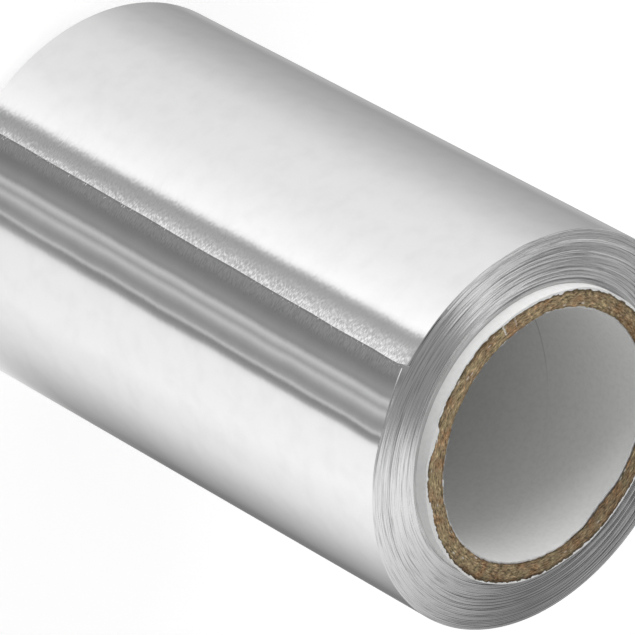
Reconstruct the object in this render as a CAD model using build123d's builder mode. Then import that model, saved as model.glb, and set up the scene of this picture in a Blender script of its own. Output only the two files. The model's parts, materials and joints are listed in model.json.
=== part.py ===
from build123d import *
import os

# Aluminium foil roll on a board core, standing on one end.
# +Z runs along the roll, and the origin is the middle of the end it stands on.
# Sizes are in millimetres.

# Paper-lined board core, from the bore outwards
core_bore_diameter = 49.2
liner_thickness = 0.35
board_wall = 2.7
wrap_thickness = 0.45

# Foil wound on the core
foil_width = 120.0
winding_depth = 10.3
core_overhang = 2.5

# Free end of the foil: a straight edge along the roll, facing the front
free_end_step = 0.3
free_end_angle = -90.0

# Spiral of turn edges that shows on both ends of the winding
turn_spacing = 1.15
turn_groove_width = 0.4
turn_groove_depth = 0.35

# Radii and heights that the pieces share
liner_inner_radius = core_bore_diameter / 2
board_inner_radius = liner_inner_radius + liner_thickness
wrap_inner_radius = board_inner_radius + board_wall
core_radius = wrap_inner_radius + wrap_thickness
roll_radius = core_radius + winding_depth
core_length = foil_width + 2 * core_overhang

# Whole turns that fit between the core and the outer layer, which stays ungrooved
spiral_start_radius = core_radius + turn_spacing / 2
shown_turns = int((winding_depth - turn_spacing) // turn_spacing)

# Plane whose X points at the free end of the foil
roll_plane = Plane.XY.rotated((0, 0, free_end_angle))

os.makedirs("parts", exist_ok=True)


# Foil: one solid for all the turns
with BuildPart() as foil_winding:
    # The last turn is two half circles that grow by the step, so its end stands proud of the turn below
    with BuildSketch(roll_plane.offset(core_overhang)):
        with BuildLine():
            CenterArc((-free_end_step / 2, 0), roll_radius - free_end_step / 2, 0, 180)
            CenterArc((0, 0), roll_radius, 180, 180)
            Line((roll_radius, 0), (roll_radius - free_end_step, 0))
        make_face()
        Circle(core_radius, mode=Mode.SUBTRACT)
    extrude(amount=foil_width)

    # The turns pass straight through the roll, so both ends carry the same spiral
    for end_height, outward in ((core_overhang, -1), (core_overhang + foil_width, 1)):
        end_plane = roll_plane.offset(end_height)
        with BuildLine(end_plane) as turn_edge:
            for half_turn in range(2 * shown_turns):
                second_half = half_turn % 2
                CenterArc(
                    (second_half * turn_spacing / 2, 0),
                    spiral_start_radius + half_turn * turn_spacing / 2,
                    second_half * 180,
                    180,
                )
        groove_plane = Plane(
            origin=end_plane.from_local_coords((spiral_start_radius, 0)),
            x_dir=end_plane.x_dir,
            z_dir=end_plane.y_dir * -outward,
        )
        with BuildSketch(groove_plane):
            # A V that is as wide as the groove where it crosses the end face
            with BuildLine():
                Polyline(
                    (0, -turn_groove_depth),
                    (turn_groove_width, turn_groove_depth),
                    (-turn_groove_width, turn_groove_depth),
                    close=True,
                )
            make_face()
        sweep(path=turn_edge.wire(), mode=Mode.SUBTRACT)


def core_ply(inner_radius, thickness):
    """Build one ply of the core as a tube of the core's full length."""
    with BuildPart() as ply:
        with BuildSketch(Plane.XZ):
            with Locations((inner_radius, 0)):
                Rectangle(thickness, core_length, align=Align.MIN)
        revolve(axis=Axis.Z)
    return ply


# Core: white paper outside, thick brown board, white paper inside
core_outer_wrap = core_ply(wrap_inner_radius, wrap_thickness)
core_board = core_ply(board_inner_radius, board_wall)
core_liner = core_ply(liner_inner_radius, liner_thickness)

foil_winding.part.label = "foil_winding"
core_outer_wrap.part.label = "core_outer_wrap"
core_board.part.label = "core_board"
core_liner.part.label = "core_liner"

export_step(foil_winding.part, "parts/foil_winding.step")
export_step(core_outer_wrap.part, "parts/core_outer_wrap.step")
export_step(core_board.part, "parts/core_board.step")
export_step(core_liner.part, "parts/core_liner.step")
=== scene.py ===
"""Aluminium foil roll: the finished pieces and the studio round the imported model."""

import json
import math

import bpy
from mathutils import Matrix, Vector


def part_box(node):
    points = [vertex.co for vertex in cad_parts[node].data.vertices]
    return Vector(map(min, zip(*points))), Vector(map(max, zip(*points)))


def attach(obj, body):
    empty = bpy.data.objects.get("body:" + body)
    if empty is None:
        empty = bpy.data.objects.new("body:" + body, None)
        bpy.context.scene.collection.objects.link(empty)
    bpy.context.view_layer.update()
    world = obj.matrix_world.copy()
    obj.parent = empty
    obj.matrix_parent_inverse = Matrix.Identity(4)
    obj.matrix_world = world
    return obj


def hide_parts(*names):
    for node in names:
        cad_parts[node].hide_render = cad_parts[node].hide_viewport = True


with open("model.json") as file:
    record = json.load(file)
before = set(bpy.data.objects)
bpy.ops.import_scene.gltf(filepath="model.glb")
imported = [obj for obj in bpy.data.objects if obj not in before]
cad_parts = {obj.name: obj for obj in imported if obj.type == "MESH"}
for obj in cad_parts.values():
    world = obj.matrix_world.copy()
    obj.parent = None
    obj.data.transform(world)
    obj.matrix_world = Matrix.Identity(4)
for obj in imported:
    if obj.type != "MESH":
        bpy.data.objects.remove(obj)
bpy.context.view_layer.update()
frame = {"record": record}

bl_info = {
    "name": "Aluminium Foil Roll",
    "version": (1, 0, 0),
    "blender": (4, 5, 0),
    "location": "View3D > Sidebar > Foil Roll",
    "description": "Builds a roll of aluminium foil on a board core, with its materials and studio",
    "category": "Add Mesh",
}

MM = 0.001
TURN = 2 * math.pi
FOIL_SEED, BOARD_SEED, WRAP_SEED, LINER_SEED = 3.0, 1.0, 2.0, 4.0
# The two commonest kinds of node
MATH = "ShaderNodeMath"
MAP_RANGE = "ShaderNodeMapRange"
# Sockets of a mix node that only a number tells apart: the share, the two colours and the mixed colour
SHARE, COLOUR_A, COLOUR_B = 0, 6, 7
MIXED = 2


def linear(hex_colour):
    """Turn an sRGB hex colour into linear RGBA."""
    values = [int(hex_colour[i:i + 2], 16) / 255 for i in (1, 3, 5)]
    rgb = [v / 12.92 if v <= 0.04045 else ((v + 0.055) / 1.055) ** 2.4 for v in values]
    return (*rgb, 1.0)


def shade(colour, factor):
    """Scale a linear colour to a darker or lighter one."""
    return (*[min(1.0, factor * v) for v in colour[:3]], 1.0)


def greys(stops):
    """Turn (position, brightness) pairs into stops of a colour ramp."""
    return [(position, (v, v, v, 1.0)) for position, v in stops]


def add(tree, kind, inputs=(), **settings):
    """Add a node with its settings, and set or link its inputs, given in order or by name."""
    node = tree.nodes.new(kind)
    for name, value in settings.items():
        setattr(node, name, value)
    for key, value in inputs.items() if isinstance(inputs, dict) else enumerate(inputs):
        if isinstance(value, bpy.types.Node):
            value = value.outputs[0]
        if isinstance(value, bpy.types.NodeSocket):
            tree.links.new(value, node.inputs[key])
        elif value is not None:
            node.inputs[key].default_value = value
    return node


def fill_ramp(node, stops):
    """Give a colour ramp node its stops, as (position, colour) pairs."""
    elements = node.color_ramp.elements
    while len(elements) < len(stops):
        elements.new(0.5)
    for element, (position, colour) in zip(elements, stops):
        element.position = position
        element.color = colour


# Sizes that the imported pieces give, in metres
FOIL_LOW, FOIL_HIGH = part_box("foil_winding")
ROLL_RADIUS = FOIL_HIGH.y
FOIL_WIDTH = FOIL_HIGH.z - FOIL_LOW.z
OVERHANG = FOIL_LOW.z
WRAP_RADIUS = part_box("core_outer_wrap")[1].y
BOARD_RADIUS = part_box("core_board")[1].y
LINER_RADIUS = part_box("core_liner")[1].y
CORE_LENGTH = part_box("core_board")[1].z
BORE_RADIUS = next(m["dims"]["r_mm"] for m in frame["record"]["mounts"] if m["name"] == "core_bore") * MM


class FoilSettings(bpy.types.PropertyGroup):
    """Sizes and colours of the wound foil."""

    turns: bpy.props.IntProperty(
        name="Turns", description="Turns of foil drawn on the ends", default=36, min=4, max=60)
    around: bpy.props.IntProperty(
        name="Around", description="Mesh columns round the roll", default=480, min=48, max=600)
    along: bpy.props.IntProperty(
        name="Along", description="Mesh rows along the roll", default=24, min=4, max=48)
    swell: bpy.props.FloatProperty(
        name="Swell", description="How far the last turn ends past the packed roll",
        default=0.14 * MM, unit="LENGTH")
    layer_gap: bpy.props.FloatProperty(
        name="Layer gap", description="Gap between two drawn turns",
        default=0.02 * MM, unit="LENGTH")
    wander: bpy.props.FloatProperty(
        name="Wander", description="How far a turn strays along the roll",
        default=0.11 * MM, unit="LENGTH")
    edge_slope: bpy.props.FloatProperty(
        name="Edge slope", description="Drop across the edge of one turn, outwards",
        default=0.06 * MM, unit="LENGTH")
    curl: bpy.props.FloatProperty(
        name="Curl", description="How far the free end lifts off the roll",
        default=0.06 * MM, unit="LENGTH")
    curl_angle: bpy.props.FloatProperty(
        name="Curl angle", description="How far round the roll the free end lifts",
        default=math.radians(4.5), subtype="ANGLE")
    free_end: bpy.props.FloatProperty(
        name="Free end", description="Where the middle of the free end lies, round the roll from +X",
        default=math.radians(-90.8), subtype="ANGLE")
    skew: bpy.props.FloatProperty(
        name="Skew", description="How far the free end turns from one end of the roll to the other",
        default=math.radians(3.1), subtype="ANGLE")
    lean: bpy.props.FloatProperty(
        name="Lean", description="How far the layer under the free end turns from one end to the other",
        default=math.radians(2.9), subtype="ANGLE")
    foot_shift: bpy.props.FloatProperty(
        name="Foot shift",
        description="Shift of the bared layer's upper edge along the roll, at the free end",
        default=-1.4 * MM, unit="LENGTH")
    face_colour: bpy.props.FloatVectorProperty(
        name="Foil colour", description="Bright rolled face of the foil",
        default=linear("#F7F7F7")[:3], subtype="COLOR")
    edge_colour: bpy.props.FloatVectorProperty(
        name="Edge colour", description="Cut edges of the turns on the ends",
        default=linear("#F4F4F4")[:3], subtype="COLOR")


class CoreSettings(bpy.types.PropertyGroup):
    """Sizes and colours of the board core and its papers."""

    fray: bpy.props.FloatProperty(
        name="Fray", description="How far the cut rims of the board fray out",
        default=0.65 * MM, unit="LENGTH")
    cut_roughness: bpy.props.FloatProperty(
        name="Cut roughness", description="Height of the torn fibres on the cut ends",
        default=0.3 * MM, unit="LENGTH")
    paper_trim: bpy.props.FloatProperty(
        name="Paper trim", description="How far the papers end short of the board at the standing end",
        default=0.25 * MM, unit="LENGTH")
    board_rise: bpy.props.FloatProperty(
        name="Board rise", description="How far the board's fibres stand past the core's upper end",
        default=0.2 * MM, unit="LENGTH")
    wrap_rise: bpy.props.FloatProperty(
        name="Wrap rise", description="How far the outer paper stands past the core's upper end",
        default=0.1 * MM, unit="LENGTH")
    liner_drop: bpy.props.FloatProperty(
        name="Liner drop", description="How far the inner paper ends short of the core's upper end",
        default=0.15 * MM, unit="LENGTH")
    around: bpy.props.IntProperty(
        name="Around", description="Mesh columns round the core", default=720, min=48, max=900)
    along: bpy.props.IntProperty(
        name="Along", description="Mesh rows along the core", default=32, min=4, max=48)
    seam_pitch: bpy.props.FloatProperty(
        name="Seam pitch", description="Rise of the liner's winding seam in one turn",
        default=68.4 * MM, unit="LENGTH")
    seam_start: bpy.props.FloatProperty(
        name="Seam start", description="Where the liner's seam meets the standing end, from +X",
        default=math.radians(278.4), subtype="ANGLE")
    board_colour: bpy.props.FloatVectorProperty(
        name="Board colour", description="Middle tone of the brown board",
        default=linear("#A38E70")[:3], subtype="COLOR")
    wrap_colour: bpy.props.FloatVectorProperty(
        name="Wrap colour", description="White paper round the core",
        default=linear("#FAFAF9")[:3], subtype="COLOR")
    liner_colour: bpy.props.FloatVectorProperty(
        name="Liner colour", description="Greyer white paper inside the core",
        default=linear("#EEEEED")[:3], subtype="COLOR")


class StageSettings(bpy.types.PropertyGroup):
    """Camera and side lamp."""

    azimuth: bpy.props.FloatProperty(
        name="Azimuth", description="Camera's place round the roll, from +X",
        default=math.radians(-91.06), subtype="ANGLE")
    elevation: bpy.props.FloatProperty(
        name="Elevation", description="Camera's height above the floor's horizon",
        default=math.radians(41.78), subtype="ANGLE")
    roll: bpy.props.FloatProperty(
        name="Roll", description="Turn of the camera about its line of sight",
        default=math.radians(118.73), subtype="ANGLE")
    distance: bpy.props.FloatProperty(
        name="Distance", description="Camera's distance from the point it looks at",
        default=1.4467, unit="LENGTH")
    lens: bpy.props.FloatProperty(
        name="Lens", description="Focal length in millimetres", default=449.0)
    aim: bpy.props.FloatVectorProperty(
        name="Aim", description="Point that the camera looks at",
        default=(0.93 * MM, 0.82 * MM, 63.43 * MM), subtype="XYZ", unit="LENGTH")
    lamp_power: bpy.props.FloatProperty(
        name="Lamp power", description="Power of the side lamp", default=8.0, unit="POWER")
    lamp_size: bpy.props.FloatProperty(
        name="Lamp size", description="Diameter of the side lamp", default=0.7, unit="LENGTH")
    lamp_distance: bpy.props.FloatProperty(
        name="Lamp distance", description="Side lamp's distance from the upper end",
        default=1.2, unit="LENGTH")
    lamp_azimuth: bpy.props.FloatProperty(
        name="Lamp azimuth", description="Side lamp's place round the roll, from +X",
        default=math.radians(-147), subtype="ANGLE")
    lamp_elevation: bpy.props.FloatProperty(
        name="Lamp elevation", description="Side lamp's height above the upper end",
        default=math.radians(4), subtype="ANGLE")


class RollSettings(bpy.types.PropertyGroup):
    """All settings of the foil roll."""

    foil: bpy.props.PointerProperty(type=FoilSettings)
    core: bpy.props.PointerProperty(type=CoreSettings)
    stage: bpy.props.PointerProperty(type=StageSettings)


# Materials

def new_material(name):
    """Make an empty node material, and return it with its tree and output node."""
    material = bpy.data.materials.new(name)
    material.use_nodes = True
    material.node_tree.nodes.clear()
    return material, material.node_tree, add(material.node_tree, "ShaderNodeOutputMaterial")


def rolled_foil(colour):
    """Bright rolled aluminium foil: rolling lines round the roll smear its reflections lengthwise."""
    material, tree, output = new_material("Rolled aluminium foil")
    place = add(tree, "ShaderNodeTexCoord").outputs["Object"]
    # Rolling grain: specks drawn out round the roll. Real grain is finer, and this is as coarse as it shows
    grain_length, grain_width = 1.2 * MM, 0.3 * MM
    plain_grain, free_end_grain = 0.1, 0.9
    grain = add(tree, "ShaderNodeMapping", {
        "Vector": place, "Scale": (1 / grain_length, 1 / grain_length, 1 / grain_width)})
    grain_noise = add(tree, "ShaderNodeTexNoise", {"Vector": grain, "Scale": 1.0, "Detail": 1.0})
    level_grain = add(tree, MATH, [grain_noise, 0.5], operation="SUBTRACT")
    free_end = add(tree, "ShaderNodeAttribute", attribute_name="free_end").outputs["Fac"]
    coarse = add(tree, MATH, [free_end, free_end_grain, plain_grain], operation="MULTIPLY_ADD")
    grain_height = add(tree, MATH, [level_grain, coarse], operation="MULTIPLY")
    # Slack in the layers: shallow dents
    dent_size = 14 * MM
    slack_noise = add(tree, "ShaderNodeTexNoise", {"Vector": place, "Scale": 1 / dent_size, "Detail": 1.0})
    slack = add(tree, "ShaderNodeBump", {"Strength": 1.0, "Distance": 0.06 * MM, "Height": slack_noise})
    bump = add(tree, "ShaderNodeBump", {
        "Strength": 1.0, "Distance": 0.034 * MM, "Height": grain_height, "Normal": slack})
    # The highest specks of the grain are duller near the free end, as are faint smears. The foil is also
    # darker towards the standing end, a painted shade where its highlight dims
    smear_size = 4 * MM
    dull_and_shade, shadowed = shade(colour, 0.86), shade(colour, 0.45)
    speck = add(tree, MAP_RANGE, {"Value": grain_noise, "From Min": 0.45, "From Max": 0.65})
    smear_noise = add(tree, "ShaderNodeTexNoise", {"Vector": place, "Scale": 1 / smear_size, "Detail": 4.0})
    smear = add(tree, MAP_RANGE, {
        "Value": smear_noise, "From Min": 0.45, "From Max": 0.7, "To Max": 0.25})
    # Painted shade, growing towards the standing end
    standing = add(tree, MAP_RANGE, {
        "Value": add(tree, "ShaderNodeSeparateXYZ", [place]).outputs["Z"], "From Min": FOIL_LOW.z,
        "From Max": FOIL_HIGH.z, "To Min": 0.45, "To Max": 0.0})
    smear_and_shade = add(tree, MATH, [smear, standing], operation="ADD")
    worn_and_shaded = add(tree, MATH, [speck, free_end, smear_and_shade], operation="MULTIPLY_ADD", use_clamp=True)
    tone = add(tree, "ShaderNodeMix", {
        SHARE: worn_and_shaded, COLOUR_A: (*colour, 1.0), COLOUR_B: dull_and_shade}, data_type="RGBA")
    # Painted shadow: a dark line on the bared layer under the edge of the free end
    foot = add(tree, "ShaderNodeAttribute", attribute_name="foot").outputs["Fac"]
    shaded = add(tree, "ShaderNodeMix", {
        SHARE: foot, COLOUR_A: tone.outputs[MIXED], COLOUR_B: shadowed}, data_type="RGBA")
    tangent = add(tree, "ShaderNodeTangent", direction_type="RADIAL", axis="Z")
    shader = add(tree, "ShaderNodeBsdfPrincipled", {
        "Base Color": shaded.outputs[MIXED], "Metallic": 1.0, "Roughness": 0.095, "Anisotropic": 0.97,
        "Anisotropic Rotation": 0.25, "Tangent": tangent, "Normal": bump})
    tree.links.new(shader.outputs[0], output.inputs["Surface"])
    return material


def slit_edges(colour):
    """Slit edges of the turns: thin bright and dark arcs, like a brushed disc."""
    material, tree, output = new_material("Slit foil edges")
    place = add(tree, "ShaderNodeTexCoord").outputs["Object"]
    parts = add(tree, "ShaderNodeSeparateXYZ", [place])
    flat = add(tree, "ShaderNodeCombineXYZ", [parts.outputs["X"], parts.outputs["Y"]])
    radius = add(tree, "ShaderNodeVectorMath", [flat], operation="LENGTH").outputs["Value"]
    # Fine arcs along the turns. Real turns are thinner, and these are as coarse as they need to show
    arc_spacing, arc_length = 0.2 * MM, 8 * MM
    across = add(tree, MATH, [radius, 1 / arc_spacing], operation="MULTIPLY")
    along = add(tree, "ShaderNodeVectorMath", {"Vector": flat, "Scale": 1 / arc_length}, operation="SCALE")
    lift = add(tree, "ShaderNodeCombineXYZ", [None, None, across])
    arcs = add(tree, "ShaderNodeVectorMath", [along, lift], operation="ADD")
    arc_noise = add(tree, "ShaderNodeTexNoise", {"Vector": arcs, "Scale": 1.0, "Detail": 2.0})
    tone = add(tree, "ShaderNodeValToRGB", [arc_noise])
    fill_ramp(tone, [(0.3, shade(colour, 0.6)), (0.48, (*colour, 1.0))])
    # Painted shade: the gaps between the turns, and the loose first turns, hold little light, so their colour
    # is darkened
    gap = add(tree, "ShaderNodeAttribute", attribute_name="gap").outputs["Fac"]
    gap_shaded = add(tree, "ShaderNodeMix", {
        SHARE: gap, COLOUR_A: tone, COLOUR_B: shade(colour, 0.24)}, data_type="RGBA")
    bump = add(tree, "ShaderNodeBump", {"Strength": 1.0, "Distance": 0.02 * MM, "Height": arc_noise})
    tangent = add(tree, "ShaderNodeTangent", direction_type="RADIAL", axis="Z")
    shader = add(tree, "ShaderNodeBsdfPrincipled", {
        "Base Color": gap_shaded.outputs[MIXED], "Metallic": 1.0, "Roughness": 0.13, "Anisotropic": 0.97,
        "Anisotropic Rotation": 0.25, "Tangent": tangent, "Normal": bump})
    tree.links.new(shader.outputs[0], output.inputs["Surface"])
    return material


def white_paper(name, colour, seam_start, seam_pitch, seam_tone):
    """Uncoated white paper: matt, with faint cloudy fibres and a darker winding seam.

    The seam climbs clockwise by its pitch in a turn, and is fainter near the upper mouth of the core.
    """
    material, tree, output = new_material(name)
    fibre_size = 0.8 * MM
    seam_core, seam_edge = math.radians(0.3), math.radians(1.5)
    fade_start, fade_end, faded = 94 * MM, 101 * MM, 0.06
    place = add(tree, "ShaderNodeTexCoord").outputs["Object"]
    fibres = add(tree, "ShaderNodeTexNoise", {"Vector": place, "Scale": 1 / fibre_size, "Detail": 4.0})
    cloudy = add(tree, "ShaderNodeValToRGB", [fibres])
    fill_ramp(cloudy, [(0.3, shade(colour, 0.94)), (0.6, (*colour, 1.0))])
    parts = add(tree, "ShaderNodeSeparateXYZ", [place])
    azimuth = add(tree, MATH, [parts.outputs["Y"], parts.outputs["X"]], operation="ARCTAN2")
    seam = add(tree, MATH, [parts.outputs["Z"], -TURN / seam_pitch, seam_start], operation="MULTIPLY_ADD")
    off = add(tree, MATH, [azimuth, seam], operation="SUBTRACT")
    wrapped = add(tree, MATH, [off, math.pi, -math.pi], operation="WRAP")
    away = add(tree, MATH, [wrapped], operation="ABSOLUTE")
    line = add(tree, MAP_RANGE, {
        "Value": away, "From Min": seam_core, "From Max": seam_edge, "To Min": 1.0, "To Max": 0.0})
    strength = add(tree, MAP_RANGE, {
        "Value": parts.outputs["Z"], "From Min": fade_start, "From Max": fade_end,
        "To Min": seam_tone, "To Max": faded * seam_tone})
    mark = add(tree, MATH, [line, strength], operation="MULTIPLY")
    tone = add(tree, "ShaderNodeMix", {
        SHARE: mark, COLOUR_A: cloudy, COLOUR_B: linear("#595959")}, data_type="RGBA")
    bump = add(tree, "ShaderNodeBump", {"Strength": 0.15, "Distance": 0.05 * MM, "Height": fibres})
    shader = add(tree, "ShaderNodeBsdfPrincipled", {
        "Base Color": tone.outputs[MIXED], "Roughness": 0.75, "Specular IOR Level": 0.3, "Normal": bump})
    tree.links.new(shader.outputs[0], output.inputs["Surface"])
    return material


def torn_board(colour):
    """Brown wound board with a torn cut: fibres that lie round the core, over darker pits."""
    material, tree, output = new_material("Torn brown board")
    place = add(tree, "ShaderNodeTexCoord").outputs["Object"]
    flat = add(tree, "ShaderNodeMapping", {"Vector": place, "Scale": (1, 1, 0)})
    radius = add(tree, "ShaderNodeVectorMath", [flat], operation="LENGTH").outputs["Value"]
    # Bundles of fibres, drawn out round the core
    bundle_width, bundle_length = 0.35 * MM, 1.0 * MM
    across = add(tree, MATH, [radius, 1 / bundle_width], operation="MULTIPLY")
    along = add(tree, "ShaderNodeVectorMath", {
        "Vector": place, "Scale": 1 / bundle_length}, operation="SCALE")
    lift = add(tree, "ShaderNodeCombineXYZ", [None, None, across])
    bundles = add(tree, "ShaderNodeVectorMath", [along, lift], operation="ADD")
    fibres = add(tree, "ShaderNodeTexNoise", {
        "Vector": bundles, "Scale": 1.0, "Detail": 4.0, "Roughness": 0.65})
    tone = add(tree, "ShaderNodeValToRGB", [fibres])
    fill_ramp(tone, greys(((0.37, 0.35), (0.47, 0.92), (0.56, 1.15), (0.66, 2.2))))
    # Redder and paler pulp in patches
    patch_size = 2 * MM
    patches = add(tree, "ShaderNodeTexNoise", {"Vector": place, "Scale": 1 / patch_size, "Detail": 2.0})
    pulp = add(tree, "ShaderNodeValToRGB", [patches])
    red, green, blue = colour
    fill_ramp(pulp, [(0.35, (0.95 * red, 0.82 * green, 0.75 * blue, 1)), (0.5, (red, green, blue, 1)),
                     (0.65, (1.06 * red, 1.14 * green, 1.1 * blue, 1))])
    # Painted shade: the rims of the cut are darker, where shade falls at its inner wall and along the papers,
    # and the cut is darker towards the back
    wall_share = add(tree, "ShaderNodeAttribute", attribute_name="across").outputs["Fac"]
    # Painted shade along both rims of the cut
    rims = add(tree, "ShaderNodeValToRGB", [wall_share])
    fill_ramp(rims, greys(((0.0, 0.6), (0.06, 1.0), (0.84, 1.0), (0.93, 0.5), (0.985, 0.32))))
    parts = add(tree, "ShaderNodeSeparateXYZ", [place])
    # Painted shade: the cut is darker towards the back, away from the lamp
    back = add(tree, MAP_RANGE, {
        "Value": parts.outputs["Y"], "From Min": -BOARD_RADIUS, "From Max": BOARD_RADIUS,
        "To Min": 1.09, "To Max": 0.72})
    rim_and_back_shade = add(tree, MATH, [rims, back], operation="MULTIPLY")
    speckled = add(tree, "ShaderNodeMix", {SHARE: 1.0, COLOUR_A: pulp, COLOUR_B: tone},
                   data_type="RGBA", blend_type="MULTIPLY")
    shaded_board = add(tree, "ShaderNodeMix", {SHARE: 1.0, COLOUR_A: speckled.outputs[MIXED], COLOUR_B: rim_and_back_shade},
                  data_type="RGBA", blend_type="MULTIPLY")
    # A few white paper fibres are caught in the cut, and two strands lie across it
    cells = add(tree, "ShaderNodeTexVoronoi", {"Vector": bundles, "Scale": 0.3})
    fleck = add(tree, MAP_RANGE, {
        "Value": cells, "From Min": 0.1, "From Max": 0.16, "To Min": 0.8, "To Max": 0.0})
    strand_reach, strand_bend = 0.2, math.radians(2.5)
    azimuth = add(tree, MATH, [parts.outputs["Y"], parts.outputs["X"]], operation="ARCTAN2")
    inside = add(tree, MATH, [wall_share, strand_reach], operation="GREATER_THAN")
    ragged = add(tree, MATH, [fibres, strand_bend, azimuth], operation="MULTIPLY_ADD")
    # Each strand's azimuth and half width, in degrees, and its strength
    for middle, half_width, strength in ((-118.5, 0.35, 1.0), (-124.5, 0.2, 0.5)):
        soft_half = math.radians(half_width)
        off = add(tree, MATH, [ragged, math.radians(middle)], operation="SUBTRACT")
        away = add(tree, MATH, [off], operation="ABSOLUTE")
        strand = add(tree, MAP_RANGE, {
            "Value": away, "From Min": 0.6 * soft_half, "From Max": 1.4 * soft_half,
            "To Min": strength, "To Max": 0.0})
        laid = add(tree, MATH, [strand, inside], operation="MULTIPLY")
        fleck = add(tree, MATH, [fleck, laid], operation="MAXIMUM")
    flecked = add(tree, "ShaderNodeMix", {
        SHARE: fleck, COLOUR_A: shaded_board.outputs[MIXED], COLOUR_B: linear("#E7E2DA")}, data_type="RGBA")
    bump = add(tree, "ShaderNodeBump", {"Strength": 1.0, "Distance": 0.15 * MM, "Height": fibres})
    shader = add(tree, "ShaderNodeBsdfPrincipled", {
        "Base Color": flecked.outputs[MIXED], "Roughness": 0.9, "Specular IOR Level": 0.2, "Normal": bump})
    tree.links.new(shader.outputs[0], output.inputs["Surface"])
    return material


# Geometry node trees

def new_tree(name, floats=(), counts=(), materials=(), result="Geometry"):
    """Make a geometry tree or node group with named inputs, and return it with its two end nodes."""
    tree = bpy.data.node_groups.new(name, "GeometryNodeTree")
    for labels, kind in ((floats, "Float"), (counts, "Int"), (materials, "Material")):
        for label in labels:
            tree.interface.new_socket(label, in_out="INPUT", socket_type="NodeSocket" + kind)
    kind = "NodeSocketGeometry" if result == "Geometry" else "NodeSocketVector"
    tree.interface.new_socket(result, in_out="OUTPUT", socket_type=kind)
    return tree, add(tree, "NodeGroupInput").outputs, add(tree, "NodeGroupOutput")


def grow(name, tree, values):
    """Run a geometry tree with its inputs set by name, and return the result as a plain mesh object."""
    holder = bpy.data.objects.new(name, bpy.data.meshes.new(name))
    bpy.context.scene.collection.objects.link(holder)
    modifier = holder.modifiers.new("Shape", "NODES")
    modifier.node_group = tree
    for item in tree.interface.items_tree:
        if item.in_out == "INPUT":
            modifier[item.identifier] = values[item.name]
    evaluated = holder.evaluated_get(bpy.context.evaluated_depsgraph_get())
    mesh = bpy.data.meshes.new_from_object(evaluated)
    holder.modifiers.remove(modifier)
    holder.data = mesh
    mesh.name = name
    return holder


def numbered_grid(tree, columns, rows):
    """Add a flat grid, and return it with its column and row numbers as fields.

    On a face the numbers are those of its lowest column and row.
    """
    grid = add(tree, "GeometryNodeMeshGrid", {
        "Size X": 1.0, "Size Y": 1.0, "Vertices X": columns, "Vertices Y": rows})
    where = add(tree, "ShaderNodeSeparateXYZ", [add(tree, "GeometryNodeInputPosition")])
    rounding_margin = 0.01
    numbers = []
    for axis, count in (("X", columns), ("Y", rows)):
        steps = add(tree, MATH, [count, 1], operation="SUBTRACT")
        share = add(tree, MATH, [where.outputs[axis], 0.5], operation="ADD")
        number = add(tree, MATH, [share, steps, rounding_margin], operation="MULTIPLY_ADD")
        numbers.append(add(tree, MATH, [number], operation="FLOOR"))
    return grid, *numbers


def crowded(tree, number, count):
    """Turn a row number into a share of the length, with the rows crowded at both ends."""
    steps = add(tree, MATH, [count, 1], operation="SUBTRACT")
    share = add(tree, MATH, [number, steps], operation="DIVIDE")
    angle = add(tree, MATH, [share, math.pi], operation="MULTIPLY")
    swing = add(tree, MATH, [angle], operation="COSINE")
    return add(tree, MATH, [swing, -0.5, 0.5], operation="MULTIPLY_ADD")


def on_circle(tree, angle, radius, height):
    """Give the place of a point at an angle and a radius round the roll's axis, and at a height."""
    shares = [add(tree, MATH, [angle], operation=kind) for kind in ("COSINE", "SINE")]
    x, y = [add(tree, MATH, [radius, share], operation="MULTIPLY") for share in shares]
    return add(tree, "ShaderNodeCombineXYZ", [x, y, height])


def close_solid(tree, sheets, output):
    """Join the sheets of a piece into one closed mesh with crisp corners and hand it to the output."""
    seam_width, crisp_angle = 0.002 * MM, math.radians(30)
    joined = add(tree, "GeometryNodeJoinGeometry")
    for sheet in sheets:
        tree.links.new(sheet.outputs[0], joined.inputs[0])
    whole = add(tree, "GeometryNodeMergeByDistance", {"Geometry": joined, "Distance": seam_width})
    bend = add(tree, "GeometryNodeInputMeshEdgeAngle").outputs["Unsigned Angle"]
    corner = add(tree, MATH, [bend, crisp_angle], operation="GREATER_THAN")
    crisp = add(tree, "GeometryNodeSetShadeSmooth", {
        "Geometry": whole, "Selection": corner, "Shade Smooth": False}, domain="EDGE")
    real = add(tree, "GeometryNodeRealizeInstances", [crisp])
    tree.links.new(real.outputs[0], output.inputs[0])


# A point this near an end of its piece, as a share from the middle, lies on the cut end
END_SHARE = 0.9999
STRIP_SIZES = (
    "Core radius", "Roll radius", "Foil width", "Overhang", "Free end", "Skew", "Lean", "Wander",
    "Edge slope", "Layer gap", "Curl", "Curl turns", "Foot shift", "Seed")


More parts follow.
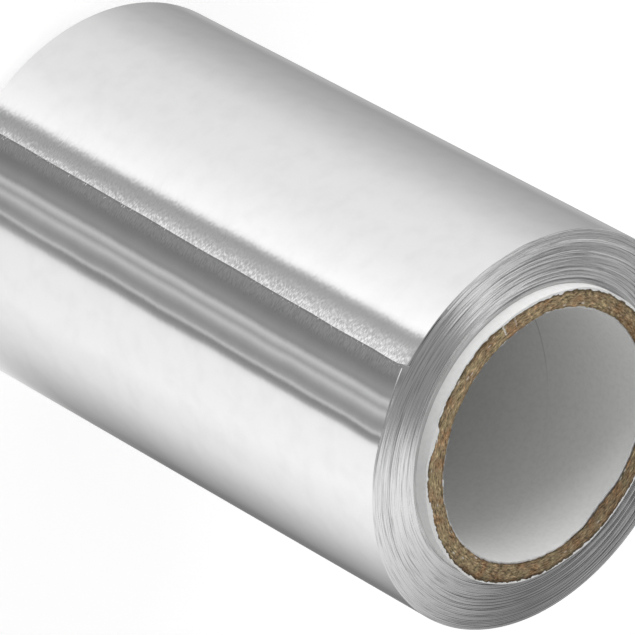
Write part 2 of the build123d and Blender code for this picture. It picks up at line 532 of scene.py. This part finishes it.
def strip_point():
    """Node group that gives the place of a point of the wound strip.

    Turn counts whole turns from the core and Part is the share of the next one. Inward is 1 on the
    strip's inner face and 0 on its outer face. Height is the share of the foil's width.
    """
    group, given, output = new_tree(
        "Strip point", (*STRIP_SIZES, "Turns", "Turn", "Part", "Inward", "Height"), result="Position")
    wound = add(group, MATH, [given["Turn"], given["Part"]], operation="ADD")
    layers = add(group, MATH, [wound, given["Inward"]], operation="SUBTRACT")

    # Radius built up by the layers below
    depth = add(group, MATH, [given["Roll radius"], given["Core radius"]], operation="SUBTRACT")
    pitch = add(group, MATH, [depth, given["Turns"]], operation="DIVIDE")
    built = add(group, MATH, [layers, pitch], operation="MULTIPLY")
    outer = add(group, MATH, [1, given["Inward"]], operation="SUBTRACT")
    slack = add(group, MATH, [outer, given["Layer gap"]], operation="MULTIPLY")
    packed = add(group, MATH, [built, slack], operation="SUBTRACT")
    rise = add(group, MATH, [packed, 0.0], operation="MAXIMUM")
    tight = add(group, MATH, [rise, given["Core radius"]], operation="ADD")

    # The free end lifts over the last stretch of the last turn, and more towards the upper end
    low_curl, curl_gain = 0.32, 1.37
    start = add(group, MATH, [given["Turns"], given["Curl turns"]], operation="SUBTRACT")
    lift = add(group, MAP_RANGE, {"Value": wound, "From Min": start, "From Max": given["Turns"]})
    lift_square = add(group, MATH, [lift, 2.0], operation="POWER")
    growth = add(group, MATH, [given["Height"], curl_gain, low_curl], operation="MULTIPLY_ADD")
    lift_here = add(group, MATH, [lift_square, growth], operation="MULTIPLY")
    lifted = add(group, MATH, [lift_here, given["Curl"], tight], operation="MULTIPLY_ADD")

    # The layer that the free end leaves bare leans about a pivot, within these parts of a turn from its foot
    lean_start, lean_hold, lean_stop = -0.03, 0.054, 0.125
    pivot_part, pivot_height = 0.033, 0.58
    last = add(group, MATH, [given["Turns"], 1], operation="SUBTRACT")
    bare = add(group, MATH, [layers, last], operation="SUBTRACT")
    fade_in = add(group, MAP_RANGE, {
        "Value": bare, "From Min": lean_start, "From Max": 0.0}, interpolation_type="SMOOTHSTEP")
    fade_out = add(group, MAP_RANGE, {
        "Value": bare, "From Min": lean_hold, "From Max": lean_stop, "To Min": 1.0, "To Max": 0.0},
        interpolation_type="SMOOTHSTEP")
    window = add(group, MATH, [fade_in, fade_out], operation="MULTIPLY")
    swing = add(group, MATH, [bare, pivot_part], operation="SUBTRACT")
    arm = add(group, MATH, [swing, window], operation="MULTIPLY")
    reach = add(group, MATH, [arm, TURN], operation="MULTIPLY")
    off_middle = add(group, MATH, [given["Height"], pivot_height], operation="SUBTRACT")
    turned = add(group, MATH, [off_middle, given["Lean"]], operation="MULTIPLY")
    tilt = add(group, MATH, [turned, reach], operation="MULTIPLY")
    radius = add(group, MATH, [tilt, given["Roll radius"], lifted], operation="MULTIPLY_ADD")

    # Each stretch of a turn strays a little along the roll, but not where it lies on the core
    strays_per_turn, tips_per_stray, tip_start = 1.7, 1.4, 40.0
    walk = add(group, MATH, [wound, strays_per_turn, given["Seed"]], operation="MULTIPLY_ADD")
    turn_noise = add(group, "ShaderNodeTexNoise", {
        "W": walk, "Scale": 1.0, "Detail": 3.0, "Roughness": 0.6}, noise_dimensions="1D")
    stray = add(group, MAP_RANGE, {
        "Value": turn_noise, "From Min": 0.25, "From Max": 0.75, "To Min": -1.0, "To Max": 1.0})
    free = add(group, MAP_RANGE, {"Value": wound, "From Min": 1.0, "From Max": 3.0})
    wandered = add(group, MATH, [stray, given["Wander"]], operation="MULTIPLY")

    # At the foot of the free end the bared layer is shifted, more towards the upper end, and its edge shows
    dip_start, dip_hold, dip_stop = -0.05, 0.004, 0.05
    bared = add(group, MATH, [wound, last], operation="SUBTRACT")
    dip_in = add(group, MAP_RANGE, {"Value": bared, "From Min": dip_start, "From Max": 0.0})
    dip_out = add(group, MAP_RANGE, {
        "Value": bared, "From Min": dip_hold, "From Max": dip_stop, "To Min": 1.0, "To Max": 0.0})
    dip = add(group, MATH, [dip_in, dip_out], operation="MULTIPLY")
    upper_dip = add(group, MATH, [dip, given["Height"]], operation="MULTIPLY")
    shift = add(group, MATH, [upper_dip, given["Foot shift"], wandered], operation="MULTIPLY_ADD")

    # The cut edge of each turn slopes down to its outer side, on both ends
    side = add(group, MATH, [given["Height"], -2.0, 1.0], operation="MULTIPLY_ADD")
    ends = add(group, MATH, [side], operation="ABSOLUTE")
    at_end = add(group, MATH, [ends, END_SHARE], operation="GREATER_THAN")
    signed = add(group, MATH, [side, at_end], operation="MULTIPLY")
    tip_walk = add(group, MATH, [walk, tips_per_stray, tip_start], operation="MULTIPLY_ADD")
    tip_noise = add(group, "ShaderNodeTexNoise", {
        "W": tip_walk, "Scale": 1.0, "Detail": 2.0}, noise_dimensions="1D")
    tip = add(group, MAP_RANGE, {
        "Value": tip_noise, "From Min": 0.3, "From Max": 0.7, "To Min": 0.7, "To Max": 1.3})
    slope = add(group, MATH, [tip, given["Edge slope"]], operation="MULTIPLY")
    drop = add(group, MATH, [outer, slope], operation="MULTIPLY")
    moved = add(group, MATH, [drop, signed, shift], operation="MULTIPLY_ADD")
    level = add(group, MATH, [given["Height"], given["Foil width"], given["Overhang"]],
                operation="MULTIPLY_ADD")
    z = add(group, MATH, [moved, free, level], operation="MULTIPLY_ADD")

    # The free end lies a little askew, waves a little, and its upper corner is rubbed round
    wave_angle, corner_angle, corner_start = math.radians(0.4), math.radians(-0.9), 0.985
    askew = add(group, MATH, [given["Height"], 0.5], operation="SUBTRACT")
    line = add(group, MATH, [askew, given["Skew"], given["Free end"]], operation="MULTIPLY_ADD")
    wave_noise = add(group, "ShaderNodeTexNoise", {
        "W": given["Height"], "Scale": 9.0, "Detail": 2.0}, noise_dimensions="1D")
    wave = add(group, MAP_RANGE, {"Value": wave_noise, "To Min": -wave_angle, "To Max": wave_angle})
    corner = add(group, MAP_RANGE, {
        "Value": given["Height"], "From Min": corner_start, "From Max": 1.0, "To Max": corner_angle},
        interpolation_type="SMOOTHSTEP")
    waved = add(group, MATH, [line, wave], operation="ADD")
    begin = add(group, MATH, [waved, corner], operation="ADD")
    angle = add(group, MATH, [given["Part"], TURN, begin], operation="MULTIPLY_ADD")
    position = on_circle(group, angle, radius, z)
    group.links.new(position.outputs[0], output.inputs[0])
    return group


def winding_tree():
    """Geometry tree of the wound foil: two ends, the outside with its free end, and the wall on the core."""
    tree, given, output = new_tree(
        "Wound foil", STRIP_SIZES, ("Turns", "Around", "Along"), ("Face", "Edges"))
    point = strip_point()
    around = given["Around"]
    columns = add(tree, MATH, [around, 1], operation="ADD")
    sheets = []

    def lay(grid, material, turn, part, inward, height, flip=False, smooth=None):
        """Lay a grid on the strip, face it outwards, and give it its shading and material."""
        sizes = {name: given[name] for name in (*STRIP_SIZES, "Turns")}
        fields = {**sizes, "Turn": turn, "Part": part, "Inward": inward, "Height": height}
        spot = add(tree, "GeometryNodeGroup", fields, node_tree=point)
        if smooth is not None:
            grid = add(tree, "GeometryNodeSetShadeSmooth", {"Geometry": grid, "Selection": smooth})
        moved = add(tree, "GeometryNodeSetPosition", {"Geometry": grid, "Position": spot.outputs[0]})
        if flip:
            moved = add(tree, "GeometryNodeFlipFaces", [moved])
        sheets.append(add(tree, "GeometryNodeSetMaterial", {"Geometry": moved, "Material": given[material]}))

    # Ends: the rows are the inner and the outer edge of each turn. The parts are shares of a turn
    tight_part, tight_reach, foot_part = 0.18, 0.07, 0.055
    loose_rows, loose_shade = 12.0, 0.6
    rows = add(tree, MATH, [given["Turns"], 2], operation="MULTIPLY")
    for height, flip in ((0.0, False), (1.0, True)):
        grid, column, row = numbered_grid(tree, columns, rows)
        part = add(tree, MATH, [column, around], operation="DIVIDE")
        half = add(tree, MATH, [row, 2], operation="DIVIDE")
        turn = add(tree, MATH, [half], operation="FLOOR")
        odd = add(tree, MATH, [row, 2], operation="MODULO")
        inward = add(tree, MATH, [1, odd], operation="SUBTRACT")
        # Painted shade: the gaps between the turns are darkened, and so are the first turns where they lie
        # loose on the core
        off_tight = add(tree, MATH, [part, tight_part], operation="SUBTRACT")
        away = add(tree, MATH, [off_tight], operation="ABSOLUTE")
        loose = add(tree, MAP_RANGE, {"Value": away, "From Min": tight_reach, "From Max": 2 * tight_reach})
        first_turns = add(tree, MAP_RANGE, {
            "Value": row, "From Min": 0.0, "From Max": loose_rows, "To Min": loose_shade, "To Max": 0.0})
        dim = add(tree, MATH, [first_turns, loose], operation="MULTIPLY")
        # The outermost gap lies open to the light at the foot of the free end
        last_gap = add(tree, MATH, [rows, 3.5], operation="SUBTRACT")
        outermost = add(tree, MATH, [row, last_gap], operation="GREATER_THAN")
        at_foot = add(tree, MATH, [part, foot_part], operation="LESS_THAN")
        lit = add(tree, MATH, [outermost, at_foot], operation="MULTIPLY")
        gap = add(tree, MATH, [odd, lit], operation="SUBTRACT", use_clamp=True)
        dark = add(tree, MATH, [gap, dim], operation="MAXIMUM")
        marked = add(tree, "GeometryNodeStoreNamedAttribute", {
            "Geometry": grid.outputs["Mesh"], "Name": "gap", "Value": dark}, data_type="FLOAT", domain="FACE")
        lay(marked, "Edges", turn, part, inward, height, flip)

    # Outside: the last turn, then two more columns down the thin edge of the free end
    side_columns = add(tree, MATH, [around, 3], operation="ADD")
    grid, column, row = numbered_grid(tree, side_columns, given["Along"])
    last_turn = add(tree, MATH, [given["Turns"], 1], operation="SUBTRACT")
    stop = add(tree, MATH, [column, around], operation="MINIMUM")
    run = add(tree, MATH, [stop, around], operation="DIVIDE")
    back = add(tree, MATH, [column, columns], operation="GREATER_THAN")
    stay = add(tree, MATH, [1, back], operation="SUBTRACT")
    part = add(tree, MATH, [run, stay], operation="MULTIPLY")
    under = add(tree, MATH, [column, columns, 0.1], operation="COMPARE")
    face = add(tree, MATH, [column, around], operation="LESS_THAN")
    # The foil is rough on both sides of the free end: over its last stretch, and on the layer at its foot
    rough_start, rough_growth = 0.964, 1.6
    bare_stop, bare_rough = 0.016, 1.5
    nearing = add(tree, MAP_RANGE, {"Value": part, "From Min": rough_start, "From Max": 1.0})
    above = add(tree, MATH, [nearing, rough_growth], operation="POWER")
    below = add(tree, MAP_RANGE, {
        "Value": part, "From Min": 0.0, "From Max": bare_stop, "To Min": bare_rough, "To Max": 0.0})
    near_end = add(tree, MATH, [above, below], operation="ADD")
    # The first column, under the edge of the free end, carries the foil's painted shadow line
    painted_shadow_column = add(tree, MATH, [column, 0.5], operation="LESS_THAN")
    marked = grid.outputs["Mesh"]
    for label, value in (("free_end", near_end), ("foot", painted_shadow_column)):
        marked = add(tree, "GeometryNodeStoreNamedAttribute", {
            "Geometry": marked, "Name": label, "Value": value}, data_type="FLOAT", domain="POINT")
    lay(marked, "Face", last_turn, part, under, crowded(tree, row, given["Along"]), smooth=face)

    # Inside: the wall on the core
    grid, column, row = numbered_grid(tree, columns, given["Along"])
    part = add(tree, MATH, [column, around], operation="DIVIDE")
    lay(grid, "Face", 0.0, part, 1.0, crowded(tree, row, given["Along"]), flip=True)
    close_solid(tree, sheets, output)
    return tree


PLY_SIZES = (
    "Inner radius", "Outer radius", "Low end", "High end", "Fray", "Cut roughness", "Grain", "Seed")

# How far the cut rims bulge outwards, as (azimuth in degrees, inner rim, outer rim), in shares of the fray
RIM_BULGES = (
    (0, -0.7, 0.85), (28, -0.3, 0.7), (50, 0.1, 0.3), (62, -0.7, 0.6), (74, -2.0, 0.25), (90, -0.9, 0.1),
    (180, -0.9, 0.0), (200, -0.5, 0.5), (218, -0.1, -0.3), (230, -0.6, -0.2), (240, -0.9, 0.05),
    (250, -0.8, 0.9), (265, -1.1, 0.3), (282, -1.1, 0.5), (290, -1.5, -1.5), (299, -1.5, 0.5),
    (322, -1.1, -1.0), (340, -0.9, -0.2), (360, -0.7, 0.85))
# The largest bulge that fits the ramp which holds them
BULGE_LIMIT = 2.0


def ply_point():
    """Node group that gives the place of a point of a core ply.

    Part, Across and Along are shares round the ply, from its inner to its outer face and along it.
    """
    group, given, output = new_tree("Ply point", (*PLY_SIZES, "Part", "Across", "Along"), result="Position")
    level = add(group, MAP_RANGE, {
        "Value": given["Along"], "To Min": given["Low end"], "To Max": given["High end"]})
    radius = add(group, MAP_RANGE, {
        "Value": given["Across"], "To Min": given["Inner radius"], "To Max": given["Outer radius"]})

    # Torn fibres: noise on the clean place of the point, only on the cut ends
    angle = add(group, MATH, [given["Part"], TURN], operation="MULTIPLY")
    clean = on_circle(group, angle, radius, level)
    fineness = add(group, MATH, [1.0, given["Grain"]], operation="DIVIDE")
    noise = add(group, "ShaderNodeTexNoise", {
        "Vector": clean, "W": given["Seed"], "Scale": fineness, "Detail": 5.0, "Roughness": 0.75},
        noise_dimensions="4D")
    side = add(group, MATH, [given["Along"], -2.0, 1.0], operation="MULTIPLY_ADD")
    ends = add(group, MATH, [side], operation="ABSOLUTE")
    at_end = add(group, MATH, [ends, END_SHARE], operation="GREATER_THAN")
    sunk = add(group, MAP_RANGE, {
        "Value": noise, "From Min": 0.25, "From Max": 0.7, "To Min": given["Cut roughness"], "To Max": 0.0})
    inwards = add(group, MATH, [side, at_end], operation="MULTIPLY")
    z = add(group, MATH, [sunk, inwards, level], operation="MULTIPLY_ADD")

    # The board's rims bulge in and out slowly, as the cut crushed them, and take the papers with them
    bulges = add(group, "ShaderNodeValToRGB", [given["Part"]])
    step = 0.5 / BULGE_LIMIT
    fill_ramp(bulges, [(a / 360, (0.5 + step * i, 0.5 + step * o, 0, 1)) for a, i, o in RIM_BULGES])
    slow = add(group, "ShaderNodeSeparateXYZ", [bulges])
    # Torn flakes and finer fibres, by their size along the rim
    flake_size, fibre_size = 1.5 * MM, 1.2 * MM
    flat = on_circle(group, angle, radius, side)
    flakes = add(group, "ShaderNodeTexVoronoi", {"Vector": flat, "Scale": 1 / flake_size})
    flake = add(group, "ShaderNodeSeparateXYZ", [flakes.outputs["Color"]])
    flaked = add(group, MAP_RANGE, {"Value": flake, "To Min": -0.4, "To Max": 0.4})
    fibres = add(group, "ShaderNodeTexNoise", {
        "Vector": flat, "Scale": 1 / fibre_size, "Detail": 3.0, "Roughness": 0.7})
    stray = add(group, MAP_RANGE, {
        "Value": fibres, "From Min": 0.3, "From Max": 0.7, "To Min": -0.5, "To Max": 0.5})
    torn = add(group, MATH, [flaked, stray], operation="ADD")
    bulged, shifts = [], []
    for channel, torn_share in (("X", 0.35), ("Y", 0.6)):
        bulged.append(add(group, MAP_RANGE, {
            "Value": slow.outputs[channel], "To Min": -BULGE_LIMIT, "To Max": BULGE_LIMIT}))
        shifts.append(add(group, MATH, [torn, torn_share, bulged[-1]], operation="MULTIPLY_ADD"))

    # Both shifts fade within the board. The wrap's outside only flares, where the board pushes it out
    fade_depth, wrap_play = 0.5 * MM, 0.2
    push = add(group, MATH, [bulged[1], wrap_play], operation="SUBTRACT")
    flare = add(group, MATH, [push, 0.0], operation="MAXIMUM")
    inner_share = add(group, MAP_RANGE, {
        "Value": radius, "From Min": LINER_RADIUS, "From Max": LINER_RADIUS + fade_depth,
        "To Min": 1.0, "To Max": 0.0})
    outer_share = add(group, MAP_RANGE, {
        "Value": radius, "From Min": BOARD_RADIUS - fade_depth, "From Max": BOARD_RADIUS})
    wrap_share = add(group, MAP_RANGE, {
        "Value": radius, "From Min": BOARD_RADIUS, "From Max": WRAP_RADIUS})
    outer_shift = add(group, "ShaderNodeMix", {"Factor": wrap_share, "A": shifts[1], "B": flare})
    inner_part = add(group, MATH, [shifts[0], inner_share], operation="MULTIPLY")
    ragged = add(group, MATH, [outer_shift, outer_share, inner_part], operation="MULTIPLY_ADD")
    outward = add(group, MATH, [ragged, given["Fray"]], operation="MULTIPLY")
    torn_radius = add(group, MATH, [outward, at_end, radius], operation="MULTIPLY_ADD")
    position = on_circle(group, angle, torn_radius, z)
    group.links.new(position.outputs[0], output.inputs[0])
    return group


def ply_tree():
    """Geometry tree of one ply of the core: a closed tube with cut ends."""
    tree, given, output = new_tree("Core ply", PLY_SIZES, ("Around", "Across", "Along"), ("Material",))
    point = ply_point()
    columns = add(tree, MATH, [given["Around"], 1], operation="ADD")
    sheets = []
    for wall in (True, False):
        running, fixed = ("Along", "Across") if wall else ("Across", "Along")
        for at in (0.0, 1.0):
            grid, column, row = numbered_grid(tree, columns, given[running])
            share = crowded(tree, row, given[running])
            part = add(tree, MATH, [column, given["Around"]], operation="DIVIDE")
            fields = {**{name: given[name] for name in PLY_SIZES}, "Part": part, running: share, fixed: at}
            spot = add(tree, "GeometryNodeGroup", fields, node_tree=point)
            marked = add(tree, "GeometryNodeStoreNamedAttribute", {
                "Geometry": grid.outputs["Mesh"], "Name": "across", "Value": at if wall else share},
                data_type="FLOAT", domain="POINT")
            smooth = add(tree, "GeometryNodeSetShadeSmooth", {"Geometry": marked, "Shade Smooth": wall})
            sheet = add(tree, "GeometryNodeSetPosition", {"Geometry": smooth, "Position": spot})
            if wall == (at == 0.0):
                sheet = add(tree, "GeometryNodeFlipFaces", [sheet])
            sheets.append(add(tree, "GeometryNodeSetMaterial", {
                "Geometry": sheet, "Material": given["Material"]}))
    close_solid(tree, sheets, output)
    return tree


def finish_piece(piece, node):
    """Put a finished piece in the place of its packed one."""
    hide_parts(node)
    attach(piece, "root")


class FOILROLL_OT_wind_foil(bpy.types.Operator):
    """Wind the foil on its core"""

    bl_idname = "foilroll.wind_foil"
    bl_label = "Wind Foil"

    def execute(self, context):
        settings = context.scene.foil_roll.foil
        winding = grow("wound_foil", winding_tree(), {
            "Core radius": WRAP_RADIUS, "Roll radius": ROLL_RADIUS + settings.swell, "Foil width": FOIL_WIDTH,
            "Overhang": OVERHANG, "Free end": settings.free_end, "Skew": settings.skew,
            "Lean": settings.lean, "Wander": settings.wander, "Edge slope": settings.edge_slope,
            "Layer gap": settings.layer_gap, "Curl": settings.curl, "Curl turns": settings.curl_angle / TURN,
            "Foot shift": settings.foot_shift, "Seed": FOIL_SEED, "Turns": settings.turns,
            "Around": settings.around, "Along": settings.along,
            "Face": rolled_foil(settings.face_colour), "Edges": slit_edges(settings.edge_colour)})
        finish_piece(winding, "foil_winding")
        return {"FINISHED"}


class FOILROLL_OT_make_core(bpy.types.Operator):
    """Make the board core with its outer and inner paper"""

    bl_idname = "foilroll.make_core"
    bl_label = "Make Core"

    def execute(self, context):
        settings = context.scene.foil_roll.core
        tree = ply_tree()
        ply = {"Fray": settings.fray, "Around": settings.around, "Along": settings.along}
        paper = {**ply, "Low end": settings.paper_trim, "Across": 3}
        # The wrap's seam lies a little further round than the liner's, and shows less
        wrap_paper = white_paper(
            "White wrap paper", settings.wrap_colour, settings.seam_start + 1.0, settings.seam_pitch, 0.1)
        liner_paper = white_paper(
            "White liner paper", settings.liner_colour, settings.seam_start, settings.seam_pitch, 0.42)
        board = grow("torn_board", tree, {
            **ply, "Inner radius": LINER_RADIUS, "Outer radius": BOARD_RADIUS, "Low end": 0.0,
            "High end": CORE_LENGTH + settings.board_rise, "Cut roughness": settings.cut_roughness,
            "Grain": 1.6 * MM, "Seed": BOARD_SEED, "Across": 14,
            "Material": torn_board(settings.board_colour)})
        wrap = grow("paper_wrap", tree, {
            **paper, "Inner radius": BOARD_RADIUS, "Outer radius": WRAP_RADIUS,
            "High end": CORE_LENGTH + settings.wrap_rise, "Cut roughness": 0.1 * MM,
            "Grain": 1.5 * MM, "Seed": WRAP_SEED, "Material": wrap_paper})
        liner = grow("paper_liner", tree, {
            **paper, "Inner radius": BORE_RADIUS, "Outer radius": LINER_RADIUS,
            "High end": CORE_LENGTH - settings.liner_drop, "Cut roughness": 0.25 * MM,
            "Grain": 4 * MM, "Seed": LINER_SEED, "Material": liner_paper})
        finish_piece(board, "core_board")
        finish_piece(wrap, "core_outer_wrap")
        finish_piece(liner, "core_liner")
        return {"FINISHED"}


# Light tent walls, as (azimuth in degrees, brightness): bright cloth on both sides and a dim back
TENT_WALLS = (
    (-180, 0.77), (-163, 0.84), (-140, 0.88), (-123, 0.985), (-110, 1.08), (-40, 0.92), (-8, 0.98), (18, 0.8),
    (42, 0.47), (66, 0.2), (77, 0.21), (85, 0.43), (95, 0.43), (106, 0.5), (118, 0.36), (148, 0.5),
    (168, 0.66), (180, 0.77))
# Opening in front between the two cloths, dark with a few pale bars across it
TENT_FRONT = (
    (-110, 1.08), (-107.8, 0.98), (-105.2, 0.5), (-103, 0.38), (-99.5, 0.43), (-97.5, 0.52), (-95.2, 0.86),
    (-93.6, 1.15), (-92, 0.28), (-86, 0.27), (-81.5, 0.205), (-79, 0.22), (-74, 0.3), (-71.4, 0.28),
    (-68.7, 0.61), (-67, 0.5), (-65, 0.33), (-62, 0.59), (-59, 0.37), (-56, 0.28), (-52.5, 0.34), (-51, 0.72),
    (-49.5, 0.19), (-45.3, 0.31), (-43.4, 0.86), (-40, 0.92))
# Light tent roof, as (place to the right, brightness): a dark slot over the roll between two bright cloths
TENT_ROOF = (
    (-1.0, 0.8), (-0.55, 0.4), (-0.36, 0.15), (-0.28, 0.17), (-0.235, 0.42), (-0.19, 1.15), (-0.155, 0.78),
    (-0.115, 0.3), (-0.05, 0.28), (0.07, 0.26), (0.16, 0.33), (0.215, 0.98), (0.27, 0.87), (0.4, 0.77),
    (0.7, 0.8), (1.0, 0.9))


def direction(azimuth, elevation):
    """Unit vector that points to an azimuth, from +X, and an elevation."""
    level = math.cos(elevation)
    return Vector((level * math.cos(azimuth), level * math.sin(azimuth), math.sin(elevation)))


class FOILROLL_OT_set_stage(bpy.types.Operator):
    """Set up the light tent, the floor, the lamp and the camera"""

    bl_idname = "foilroll.set_stage"
    bl_label = "Set Stage"

    def execute(self, context):
        scene = context.scene
        settings = scene.foil_roll.stage
        scene.view_settings.view_transform = "Standard"
        scene.world = self.tent()
        self.floor(scene)
        self.lamp(scene, settings)
        self.camera(scene, settings)
        return {"FINISHED"}

    def tent(self):
        """World that lights the roll as a white light tent does, and is white to the camera."""
        world = bpy.data.worlds.new("Light tent")
        world.use_nodes = True
        tree = world.node_tree
        tree.nodes.clear()
        toward = add(tree, "ShaderNodeSeparateXYZ", [add(tree, "ShaderNodeTexCoord").outputs["Generated"]])
        azimuth = add(tree, MATH, [toward.outputs["Y"], toward.outputs["X"]], operation="ARCTAN2")
        round_share = add(tree, MATH, [azimuth, 1 / TURN, 0.5], operation="MULTIPLY_ADD")
        cloths = add(tree, "ShaderNodeValToRGB", [round_share])
        fill_ramp(cloths, greys(((a + 180) / 360, v) for a, v in TENT_WALLS))
        first, last = TENT_FRONT[0][0], TENT_FRONT[-1][0]
        front_share = add(tree, MAP_RANGE, {
            "Value": azimuth, "From Min": math.radians(first), "From Max": math.radians(last)})
        bars = add(tree, "ShaderNodeValToRGB", [front_share])
        fill_ramp(bars, greys(((a - first) / (last - first), v) for a, v in TENT_FRONT))
        in_front = add(tree, MATH, [
            azimuth, math.radians((first + last) / 2), math.radians((last - first) / 2)], operation="COMPARE")
        walls = add(tree, "ShaderNodeMix", {
            SHARE: in_front, COLOUR_A: cloths, COLOUR_B: bars}, data_type="RGBA")
        right_share = add(tree, MATH, [toward.outputs["X"], 0.5, 0.5], operation="MULTIPLY_ADD")
        roof = add(tree, "ShaderNodeValToRGB", [right_share])
        fill_ramp(roof, greys(((x + 1) / 2, v) for x, v in TENT_ROOF))
        # The walls pass into the roof between these heights
        wall_top, roof_edge = 0.4, 0.8
        high = add(tree, MAP_RANGE, {
            "Value": toward.outputs["Z"], "From Min": wall_top, "From Max": roof_edge})
        tent = add(tree, "ShaderNodeMix", {
            SHARE: high, COLOUR_A: walls.outputs[MIXED], COLOUR_B: roof}, data_type="RGBA")
        seen = add(tree, "ShaderNodeLightPath").outputs["Is Camera Ray"]
        colour = add(tree, "ShaderNodeMix", {
            SHARE: seen, COLOUR_A: tent.outputs[MIXED], COLOUR_B: linear("#FFFFFF")}, data_type="RGBA")
        light = add(tree, "ShaderNodeBackground", {"Color": colour.outputs[MIXED], "Strength": 1.0})
        output = add(tree, "ShaderNodeOutputWorld")
        tree.links.new(light.outputs[0], output.inputs["Surface"])
        return world

    def floor(self, scene):
        """Pale floor that stays white round the roll's soft shadow."""
        half = 3.0
        camera_glow = 0.55
        corners = [(-half, -half, 0), (half, -half, 0), (half, half, 0), (-half, half, 0)]
        mesh = bpy.data.meshes.new("floor")
        mesh.from_pydata(corners, [], [(0, 1, 2, 3)])
        floor = bpy.data.objects.new("floor", mesh)
        scene.collection.objects.link(floor)
        material, tree, output = new_material("White floor")
        paint = add(tree, "ShaderNodeBsdfDiffuse", {"Color": linear("#E7E7E7")})
        path = add(tree, "ShaderNodeLightPath")
        strength = add(tree, MATH, [path.outputs["Is Camera Ray"], camera_glow], operation="MULTIPLY")
        glow = add(tree, "ShaderNodeEmission", {"Color": linear("#FFFFFF"), "Strength": strength})
        both = add(tree, "ShaderNodeAddShader", [paint, glow])
        # In the foil only the strip of floor at the roll's right foot shows, and the tent below it elsewhere
        place = add(tree, "ShaderNodeTexCoord").outputs["Object"]
        beside = add(tree, "ShaderNodeVectorMath", [place], operation="LENGTH").outputs["Value"]
        foot = add(tree, "ShaderNodeValToRGB", [add(tree, MAP_RANGE, {
            "Value": beside, "From Min": ROLL_RADIUS, "From Max": 2 * ROLL_RADIUS})])
        fill_ramp(foot, greys(((0.0, 0.9), (0.17, 0.46), (0.4, 0.16), (1.0, 0.0))))
        right = add(tree, MAP_RANGE, {
            "Value": add(tree, "ShaderNodeSeparateXYZ", [place]), "From Min": 0.5 * ROLL_RADIUS,
            "From Max": ROLL_RADIUS})
        share = add(tree, MATH, [foot, right], operation="MULTIPLY")
        white = add(tree, "ShaderNodeEmission", {"Color": linear("#F9F9F9")})
        mirrored = add(tree, "ShaderNodeMixShader", [share, add(tree, "ShaderNodeBsdfTransparent"), white])
        surface = add(tree, "ShaderNodeMixShader", [path.outputs["Is Glossy Ray"], both, mirrored])
        tree.links.new(surface.outputs[0], output.inputs["Surface"])
        mesh.materials.append(material)

    def lamp(self, scene, settings):
        """Soft lamp on the left for the papers and the board, kept out of the foil's reflections."""
        light = bpy.data.lights.new("side_lamp", "AREA")
        light.shape = "DISK"
        light.size = settings.lamp_size
        light.energy = settings.lamp_power
        lamp = bpy.data.objects.new("side_lamp", light)
        toward = direction(settings.lamp_azimuth, settings.lamp_elevation)
        lamp.location = Vector((0, 0, CORE_LENGTH)) + settings.lamp_distance * toward
        lamp.rotation_euler = toward.to_track_quat("Z", "Y").to_euler()
        lamp.visible_glossy = False
        lamp.visible_camera = False
        scene.collection.objects.link(lamp)

    def camera(self, scene, settings):
        """Camera at the photograph's viewing angle, turned about its line of sight."""
        lens = bpy.data.cameras.new("camera")
        lens.lens = settings.lens
        lens.clip_end = 20.0
        camera = bpy.data.objects.new("camera", lens)
        back = direction(settings.azimuth, settings.elevation)
        upright = back.to_track_quat("Z", "Y").to_matrix().to_4x4()
        place = Matrix.Translation(Vector(settings.aim) + settings.distance * back)
        camera.matrix_world = place @ upright @ Matrix.Rotation(settings.roll, 4, "Z")
        scene.collection.objects.link(camera)
        scene.camera = camera


class FOILROLL_PT_panel(bpy.types.Panel):
    """Panel of the foil roll's steps and settings"""

    bl_label = "Foil Roll"
    bl_idname = "FOILROLL_PT_panel"
    bl_space_type = "VIEW_3D"
    bl_region_type = "UI"
    bl_category = "Foil Roll"

    def draw(self, context):
        settings = context.scene.foil_roll
        for operator in STEPS:
            self.layout.operator(operator.bl_idname)
        for group in (settings.foil, settings.core, settings.stage):
            box = self.layout.box()
            for name in group.__annotations__:
                box.prop(group, name)


STEPS = (FOILROLL_OT_wind_foil, FOILROLL_OT_make_core, FOILROLL_OT_set_stage)
CLASSES = (FoilSettings, CoreSettings, StageSettings, RollSettings, *STEPS, FOILROLL_PT_panel)


def register():
    """Register the settings, the operators and the panel."""
    for cls in CLASSES:
        bpy.utils.register_class(cls)
    bpy.types.Scene.foil_roll = bpy.props.PointerProperty(type=RollSettings)


def unregister():
    """Take back what register added."""
    del bpy.types.Scene.foil_roll
    for cls in reversed(CLASSES):
        bpy.utils.unregister_class(cls)


def main():
    """Build every piece and the stage."""
    register()
    bpy.ops.foilroll.wind_foil()
    bpy.ops.foilroll.make_core()
    bpy.ops.foilroll.set_stage()


if __name__ == "__main__":
    main()
